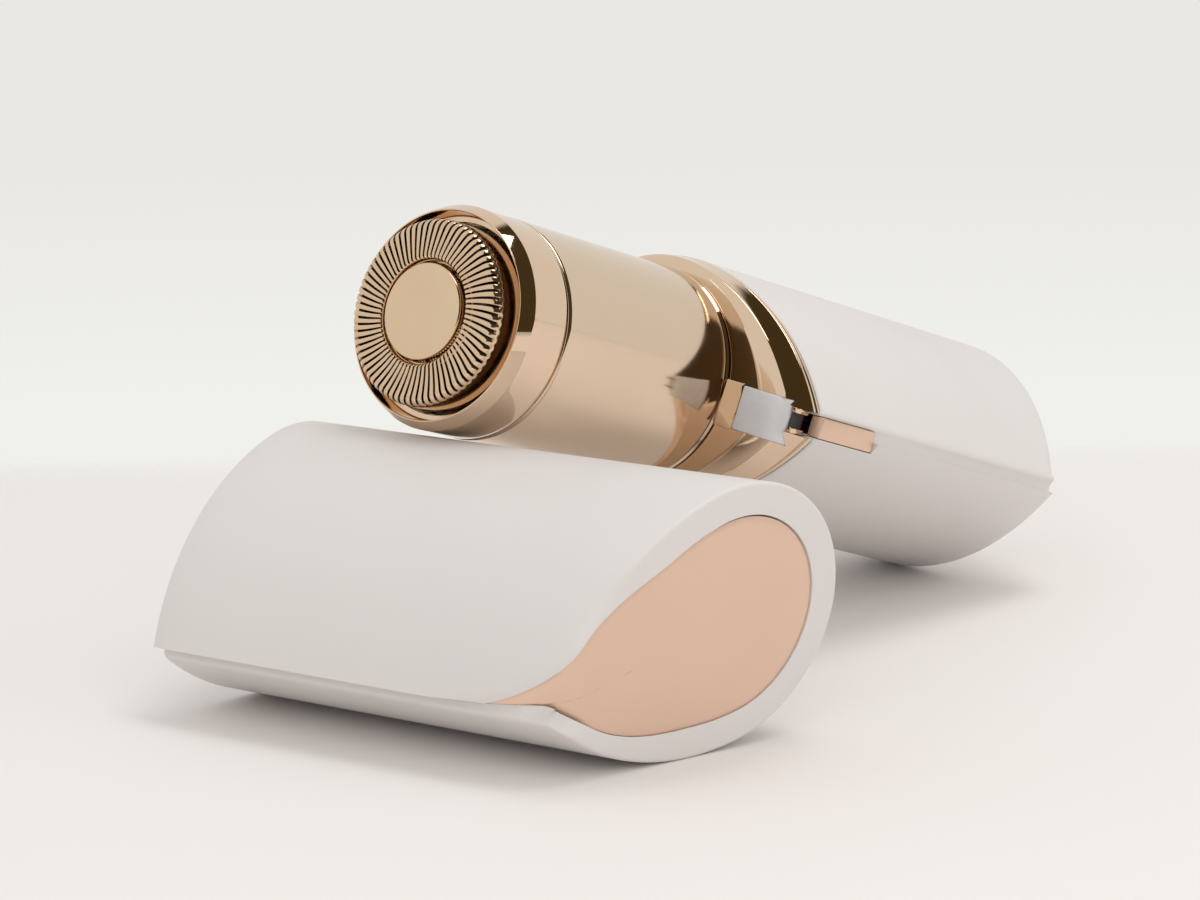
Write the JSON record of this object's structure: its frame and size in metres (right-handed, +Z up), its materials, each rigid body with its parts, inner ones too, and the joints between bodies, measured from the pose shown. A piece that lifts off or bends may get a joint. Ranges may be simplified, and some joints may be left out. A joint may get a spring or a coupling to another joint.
{
  "type": "electric facial hair remover",
  "caption": "Battery hair remover with teardrop sleeve, slotted round foil on a metallic barrel, slide switch and lamp, leaning on its wrapped teardrop cap.",
  "frame": {"origin": "middle of the base of the whole arrangement, on the table", "axes": "+Z up, +Y from the shaver head to the tail of the hand unit, +X along the cap toward its closed end"},
  "size_m": [0.0594, 0.1178, 0.0494],
  "materials": {
    "shell_white": "soft touch matte",
    "satin_rose": "satin metallised rose",
    "rose_gold": "polished metallised rose gold",
    "foil_metal": "polished rose gold plate",
    "lens_grey": "frosted translucent",
    "steel": "bright",
    "inner_plastic": "moulded",
    "dark_plastic": "moulded",
    "board_green": "solder mask",
    "rubber": "matte",
    "cell_jacket": "plain sleeve",
    "brass": "bright",
    "copper": "wound copper",
    "lead_red": "insulation",
    "lead_black": "insulation"
  },
  "bodies": {
    "handle": {"barrel": "rose_gold", "shoulder_collar": "rose_gold", "light_lens": "lens_grey", "light_led": "lens_grey", "slide_switch": "dark_plastic", "circuit_board": "board_green", "board_screw_front": "steel", "board_screw_rear": "steel", "chassis": "inner_plastic", "battery": "cell_jacket", "contact_plate": "brass", "contact_spring": "steel", "lead_red": "lead_red", "lead_black": "lead_black", "motor_mount": "inner_plastic", "motor_can": "steel", "motor_magnet": "rubber", "motor_damper": "rubber", "motor_end_cap": "dark_plastic"},
    "cap": {"cap_shell": "shell_white", "cap_inlay": "satin_rose", "cap_liner": "inner_plastic"},
    "housing": {"housing_sleeve": "shell_white"},
    "shaver_head": {"head_ring": "rose_gold", "head_base": "inner_plastic", "shaver_foil": "foil_metal", "foil_frame": "foil_metal", "foil_center": "foil_metal"},
    "cutter": {"blade_ring": "steel", "blade_carrier": "dark_plastic", "cutter_spring": "steel", "thrust_washer": "steel"},
    "motor_rotor": {"motor_shaft": "steel", "drive_dog": "dark_plastic", "motor_armature": "copper"},
    "power_switch": {"switch_bar": "satin_rose"}
  },
  "joints": [
    {"name": "cap_pull", "type": "slide", "parent": "handle", "child": "cap", "axis": [1, 0, 0], "range_m": [0, 0.065]},
    {"name": "housing_pull", "type": "slide", "parent": "handle", "child": "housing", "axis": [0, 0.9531, -0.3027], "range_m": [0, 0.055]},
    {"name": "head_pull", "type": "slide", "parent": "handle", "child": "shaver_head", "axis": [0, -0.9531, 0.3027], "range_m": [0, 0.02]},
    {"name": "motor_spin", "type": "hinge", "parent": "handle", "child": "motor_rotor", "pos_m": [-0.0134, -0.03607, 0.03947], "axis": [0, -0.9531, 0.3027], "continuous": true},
    {"name": "cutter_spin", "type": "hinge", "parent": "shaver_head", "child": "cutter", "pos_m": [-0.0134, -0.03607, 0.03947], "axis": [0, -0.9531, 0.3027], "continuous": true},
    {"name": "switch_slide", "type": "slide", "parent": "handle", "child": "power_switch", "axis": [0, -0.9531, 0.3027], "range_m": [0, 0.003]}
  ],
  "couplings": [
    {"joint": "cutter_spin", "follows": "motor_spin", "ratio": 1}
  ]
}
